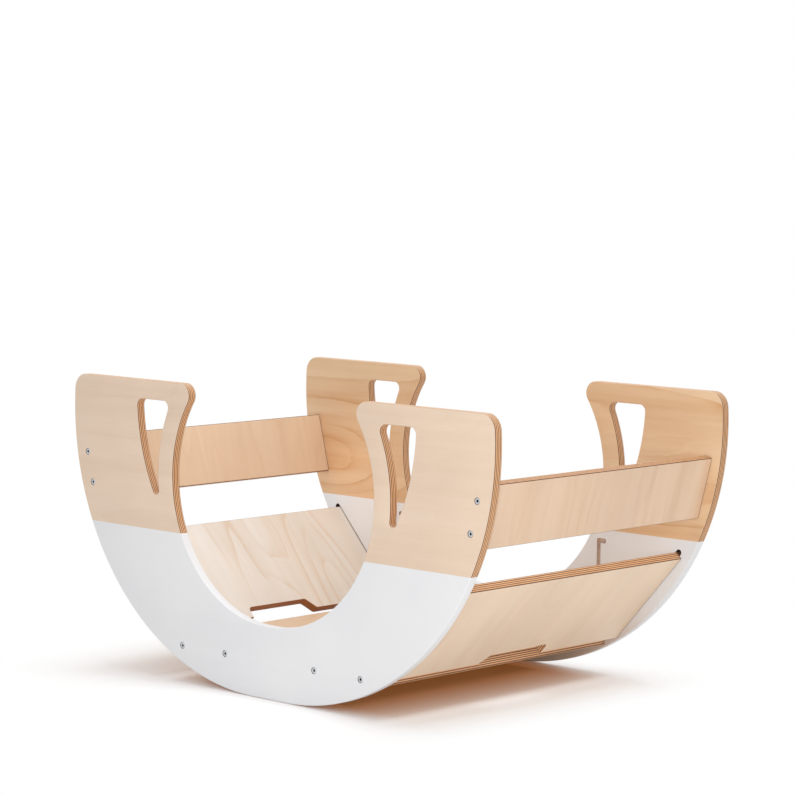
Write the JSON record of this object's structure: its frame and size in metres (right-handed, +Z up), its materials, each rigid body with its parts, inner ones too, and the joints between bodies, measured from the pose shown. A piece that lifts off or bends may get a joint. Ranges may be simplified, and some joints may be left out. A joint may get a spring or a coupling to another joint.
{
  "type": "rocker board",
  "caption": "Child's plywood rocker that also stands upside down as an arch: C-shaped side panels with hand holes, joined by rails, a flat board and loose sloping boards.",
  "frame": {"origin": "on the floor under the middle of the board, centre of the bounding box's bottom", "axes": "+X along the rocking direction (right in the front view), +Y across it from the near panel to the far panel, +Z up; the board stands on its curved rims"},
  "size_m": [0.916, 0.543, 0.473],
  "materials": {
    "half_painted_birch": "birch plywood, white satin paint below the paint line and clear satin lacquer above it",
    "rail_birch": "birch plywood, clear satin lacquer",
    "flat_board_birch": "birch plywood, clear satin lacquer",
    "slope_board_birch": "birch plywood, clear satin lacquer",
    "zinc_plate": "bright zinc plate"
  },
  "bodies": {
    "frame": {"side_panel_near": "half_painted_birch", "side_panel_far": "half_painted_birch", "rail_left": "rail_birch", "rail_right": "rail_birch", "flat_board": "flat_board_birch", "screw_near_left_rail_lower": "zinc_plate", "screw_near_left_rail_upper": "zinc_plate", "screw_near_right_rail_lower": "zinc_plate", "screw_near_right_rail_upper": "zinc_plate", "screw_near_flat_board_1": "zinc_plate", "screw_near_flat_board_2": "zinc_plate", "screw_near_flat_board_3": "zinc_plate", "screw_near_flat_board_4": "zinc_plate", "screw_far_left_rail_lower": "zinc_plate", "screw_far_left_rail_upper": "zinc_plate", "screw_far_right_rail_lower": "zinc_plate", "screw_far_right_rail_upper": "zinc_plate", "screw_far_flat_board_1": "zinc_plate", "screw_far_flat_board_2": "zinc_plate", "screw_far_flat_board_3": "zinc_plate", "screw_far_flat_board_4": "zinc_plate"},
    "slope_right": {"slope_board_right": "slope_board_birch"},
    "slope_left": {"slope_board_left": "slope_board_birch"}
  },
  "joints": [
    {"name": "slope_right_slide", "type": "slide", "parent": "frame", "child": "slope_right", "axis": [0.6691, 0, 0.7431], "range_m": [0, 0.004]},
    {"name": "slope_left_slide", "type": "slide", "parent": "frame", "child": "slope_left", "axis": [-0.6691, 0, 0.7431], "range_m": [0, 0.004]}
  ]
}
